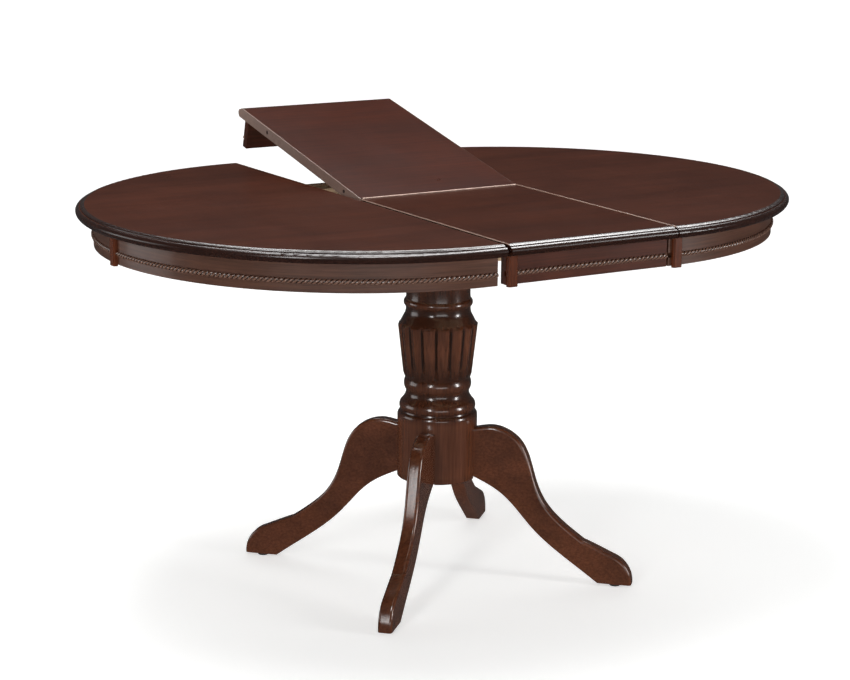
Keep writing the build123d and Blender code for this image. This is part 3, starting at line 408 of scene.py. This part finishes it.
def plain_wood(name, colour, grain_axis):
    """Unfinished secondary timber of the frame and slides."""
    graph = Graph(name)
    scales = [7.0 if axis == grain_axis else 180.0 for axis in "XYZ"]
    fibres = graph.noise(graph.place(stretch=scales), 1.0, 5.0, 0.6)
    flecks = graph.noise(graph.place(stretch=scaled(scales, 3)), 1.0, 2.0, 0.5)
    base = graph.ramp(fibres, [(0.3, scaled(colour, 0.72)), (0.55, colour), (0.8, scaled(colour, 1.18))])
    fleck_tone = graph.ramp(flecks, [(0.3, (0.7, 0.66, 0.62)), (0.45, (1, 1, 1))])
    graph.put(graph.shader, "Base Color", graph.mix(0.5, base, fleck_tone, "MULTIPLY"))
    graph.put(graph.shader, "Roughness", graph.math("MULTIPLY_ADD", fibres, 0.2, 0.5))
    graph.bump(fibres, 0.25, 0.0004)
    return graph.material


def metal(name, colour, rough):
    """Plated or polished metal with fine scratches and a little tarnish."""
    graph = Graph(name)
    scratches = graph.noise(graph.place(stretch=(400.0, 400.0, 40.0)), 1.0, 3.0, 0.6)
    tarnish = graph.noise(graph.place(), 60.0, 4.0, 0.6)
    base = graph.ramp(tarnish, [(0.35, scaled(colour, 0.7)), (0.65, colour)])
    graph.put(graph.shader, "Base Color", base)
    graph.put(graph.shader, "Metallic", 1.0)
    graph.put(graph.shader, "Roughness", graph.math("MULTIPLY_ADD", scratches, 0.25, rough - 0.12))
    graph.bump(scratches, 0.1, 0.0001)
    return graph.material


def plastic(name, colour, rough):
    """Moulded plastic with a fine texture."""
    graph = Graph(name)
    grain = graph.noise(graph.place(), 900.0, 3.0, 0.6)
    tone = graph.noise(graph.place(), 40.0, 3.0, 0.5)
    graph.put(graph.shader, "Base Color", graph.ramp(tone, [(0.3, scaled(colour, 0.85)), (0.7, colour)]))
    graph.put(graph.shader, "Roughness", graph.math("MULTIPLY_ADD", tone, 0.15, rough))
    graph.bump(grain, 0.15, 0.0002)
    return graph.material


def rope_wood():
    """Near black painted shade in the twists, painted highlight on the crowns, under a glossy coat."""
    graph = Graph("rope_wood")
    pointiness = graph.add("ShaderNodeNewGeometry").outputs["Pointiness"]
    # Painted shade deep in the twists, painted highlight on the crowns, both from pointiness.
    tone = graph.ramp(pointiness, [
        (0.44, (0.006, 0.003, 0.002)),
        (0.50, (0.05, 0.022, 0.014)),
        (0.56, (0.24, 0.125, 0.085)),
    ])
    grain = graph.noise(graph.place(stretch=(220, 220, 60)), 1.0, 3.0, 0.6)
    grain_tone = graph.ramp(grain, [(0.3, (0.6, 0.6, 0.6)), (0.7, (1.2, 1.2, 1.2))])
    graph.put(graph.shader, "Base Color", graph.mix(0.5, tone, grain_tone, "MULTIPLY"))
    graph.put(graph.shader, "Roughness", graph.math("MULTIPLY_ADD", grain, 0.1, 0.22))
    graph.put(graph.shader, "Coat Weight", 0.5)
    graph.put(graph.shader, "Coat Roughness", 0.1)
    return graph.material


def top_wood(node, colour, shift, flat=UP, strength=0.9, edge_sheen=0.0):
    """Wood of one top panel, with painted highlights on the arrises beside its seams."""
    low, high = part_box(node)
    edges = [low[0], high[0]]
    if node == "left_top":
        edges = edges[1:]
    if node == "right_top":
        edges = edges[:1]
    lowest = (high[2] if flat == UP else low[2]) - ARRIS_DEPTH
    panel = {"flat": flat, "pale_edges": (edges, lowest, strength), "edge_sheen": edge_sheen}
    return lacquered_wood(f"{node}_wood", colour, "X", 0.20, 0.30, 0.0, shift=shift, panel=panel,
                          specular=0.04, coat_roughness=0.255)


def paint(node, material):
    """Put material in every slot of a CAD node."""
    mesh_object = NODES[node]
    if not mesh_object.material_slots:
        mesh_object.data.materials.append(material)
    for slot in mesh_object.material_slots:
        slot.material = material


def make_materials():
    """Make each material and put it on the CAD nodes that it belongs to."""
    top_colour = (0.062, 0.0175, 0.0090)
    leg_colour = (0.105, 0.0330, 0.0140)
    raised_up = (0.0, -math.sin(RAISE_ANGLE), math.cos(RAISE_ANGLE))
    wood = {
        "left_top": top_wood("left_top", top_colour, (0.0, 0.0, 0.0)),
        "right_top": top_wood("right_top", top_colour, (3.1, 1.7, 0.0)),
        "leaf_front_panel": top_wood("leaf_front_panel", (0.056, 0.0138, 0.0056), (7.3, 2.2, 0.0)),
        # The raised leaf: a weaker arris highlight, and a painted reflection on its moulding and edges.
        "leaf_back_panel": top_wood("leaf_back_panel", (0.051, 0.0095, 0.0030), (5.2, 6.2, 0.0),
                                    raised_up, 0.5, 0.55),
        "column": lacquered_wood("column_wood", (0.095, 0.0320, 0.0150), "Z", 0.25, 0.24, 0.8, 0.25,
                                 tones=column_tones),
    }
    for place, angle in LEG_ANGLES:
        turn = (0, math.radians(LEG_GRAIN_SLOPE), -math.radians(angle))
        wood[f"leg_{place}"] = lacquered_wood(f"leg_{place}_wood", leg_colour, "X", 0.3, 0.22, 0.9, 0.2,
                                              turn=turn)
    apron = lacquered_wood("apron_wood", (0.088, 0.036, 0.021), "XY", 0.16, 0.36, 0.2)
    leaf_apron = lacquered_wood("leaf_apron_wood", (0.058, 0.0130, 0.0050), "X", 0.35, 0.34, 0.15,
                                specular=0.25)
    post = lacquered_wood("pilaster_wood", (0.090, 0.0200, 0.0050), "Z", 0.25, 0.26, 0.35)
    beech_x = plain_wood("beech_along", (0.52, 0.36, 0.22), "X")
    beech_y = plain_wood("beech_across", (0.46, 0.31, 0.19), "Y")
    steel = metal("zinc_steel", (0.55, 0.56, 0.57), 0.34)
    brass = metal("pale_brass", (0.26, 0.19, 0.16), 0.5)
    nylon = plastic("nylon", (0.72, 0.70, 0.64), 0.4)
    glide = plastic("glide", (0.03, 0.026, 0.022), 0.5)
    for node in NODES:
        if node in wood:
            paint(node, wood[node])
        elif node.startswith("leaf") and "apron" in node:
            paint(node, leaf_apron)
        elif "apron" in node:
            paint(node, apron)
        elif "pilaster" in node:
            paint(node, post)
        elif "screws" in node or node.startswith("leg_") or node == "pinion_axles":
            paint(node, steel)
        elif "rack" in node or "pinion" in node:
            paint(node, nylon)
        elif "hinge" in node or node.endswith("pins"):
            paint(node, brass)
        elif node == "foot_glides":
            paint(node, glide)
        elif "slide" in node or "rail" in node:
            paint(node, beech_x)
        else:
            paint(node, beech_y)


# ---------------------------------------------------------------- rope mouldings

STRANDS = 3
ROPE_RADIUS = 5.0 * MM
ROPE_SEAT = 4.2 * MM
ROPE_SINK = 0.5 * MM
ROPE_END_GAP = 1.0 * MM
ROPE_PITCH = 1.0 * MM
ROPE_SIDES = 40
ARC_LEAD = 9.0 * MM
LEAF_LEAD = 9.6 * MM


def corners(node):
    """Lowest and highest corner of a CAD node, as vectors."""
    return (Vector(corner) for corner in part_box(node))


def rope_strands(name, frames, lead, material, body, node, up=Vector(UP)):
    """Strands twisted along frames, a list of (point, outward) with points along the rope.

    The back of the rope is planed flat at ROPE_SEAT behind its axis, where it is glued in its groove.
    """
    mesh = bmesh.new()
    rings = []
    travelled = 0.0
    previous = frames[0][0]
    for point, outward in frames:
        travelled += (point - previous).length
        previous = point
        ring = []
        for step in range(ROPE_SIDES):
            angle = 2 * math.pi * step / ROPE_SIDES
            twist = STRANDS * (angle - 2 * math.pi * travelled / (STRANDS * lead))
            lobe = abs(math.cos(twist / 2))
            reach = ROPE_RADIUS * (0.70 + 0.30 * lobe ** 0.8)
            out = max(reach * math.cos(angle), -ROPE_SEAT)
            rise = reach * math.sin(angle)
            ring.append(mesh.verts.new(point + outward * out + up * rise))
        rings.append(ring)
    for first, second in zip(rings, rings[1:]):
        for step in range(ROPE_SIDES):
            following = (step + 1) % ROPE_SIDES
            face = mesh.faces.new((first[step], second[step], second[following], first[following]))
            face.smooth = True
    mesh.faces.new(list(reversed(rings[0])))
    mesh.faces.new(rings[-1])
    bmesh.ops.recalc_face_normals(mesh, faces=mesh.faces)
    data = bpy.data.meshes.new(name)
    mesh.to_mesh(data)
    mesh.free()
    data.materials.append(material)
    rope = bpy.data.objects.new(name, data)
    bpy.context.collection.objects.link(rope)
    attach(rope, body)
    if node:
        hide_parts(node)


def arc_frames(centre_x, reach, height, first, last):
    """Points along an arc about a vertical axis, angles in degrees."""
    steps = max(2, round(math.radians(abs(last - first)) * reach / ROPE_PITCH))
    frames = []
    for step in range(steps + 1):
        angle = math.radians(first + (last - first) * step / steps)
        outward = Vector((math.cos(angle), math.sin(angle), 0))
        frames.append((Vector((centre_x, 0, height)) + outward * reach, outward))
    return frames


def line_frames(start, end, outward):
    """Points along a straight run."""
    steps = max(2, round((end - start).length / ROPE_PITCH))
    return [(start.lerp(end, step / steps), outward) for step in range(steps + 1)]


def make_half_ropes(name, opening, material):
    """Two runs of rope round a half, between its posts; opening is the way along X that it is drawn."""
    post_low, post_high = corners("leaf_front_pilaster")
    top_low, top_high = corners(f"{name}_top")
    bead_low, bead_high = corners(f"{name}_ropes")
    posts_low, posts_high = corners(f"{name}_pilasters")
    if opening < 0:
        centre_x, bead_x, posts_x, start = top_high.x, bead_low.x, posts_high.x, 90.0
    else:
        centre_x, bead_x, posts_x, start = top_low.x, bead_high.x, posts_low.x, -90.0
    height = (bead_low.z + bead_high.z) / 2
    bead = (bead_high.z - bead_low.z) / 2
    face = abs(bead_x - centre_x) - bead
    middle = start + 90.0
    end_inset = math.degrees(abs(posts_x - centre_x) / face)
    half_post = math.degrees((post_high.x - post_low.x) / 2 / face)
    spans = (
        (start + end_inset + 2 * half_post, middle - half_post),
        (middle + half_post, start + 180.0 - math.degrees(ROPE_END_GAP / face)),
    )
    for index, (first, last) in enumerate(spans):
        frames = arc_frames(centre_x, face - ROPE_SINK, height, first, last)
        node = f"{name}_ropes" if index == 0 else None
        rope_strands(f"{name}_rope_strands_{index}", frames, ARC_LEAD, material, f"{name}_half", node)


def make_leaf_ropes(material):
    """The leaf's two straight runs; the back one is mirrored, then raised with its panel."""
    low, high = corners("leaf_front_rope")
    panel_low, panel_high = corners("leaf_front_panel")
    height = (low.z + high.z) / 2
    face = low.y + (high.z - low.z) / 2 + ROPE_SINK
    start = Vector((low.x, face, height))
    end = Vector((high.x, face, height))
    frames = line_frames(start, end, Vector((0, -1, 0)))
    rope_strands("leaf_front_rope_strands", frames, LEAF_LEAD, material, "leaf_front", "leaf_front_rope")
    hinge = Matrix.Translation(Vector(FOLD["pos_m"]))
    raised = hinge @ Matrix.Rotation(RAISE_ANGLE, 4, "X") @ hinge.inverted()
    turned = raised.to_3x3()
    mirror = panel_low.x + panel_high.x
    start = raised @ Vector((mirror - low.x, -face, height))
    end = raised @ Vector((mirror - high.x, -face, height))
    frames = line_frames(start, end, turned @ Vector((0, 1, 0)))
    rope_strands("leaf_back_rope_strands", frames, LEAF_LEAD, material, "leaf_back", "leaf_back_rope",
                 up=turned @ Vector(UP))


def make_ropes():
    """Rope mouldings, placed from the plain beads that they stand for."""
    material = rope_wood()
    for name, opening in (("left", -1), ("right", 1)):
        make_half_ropes(name, opening, material)
    make_leaf_ropes(material)


make_camera()
make_light()
make_floor()
make_materials()
make_ropes()
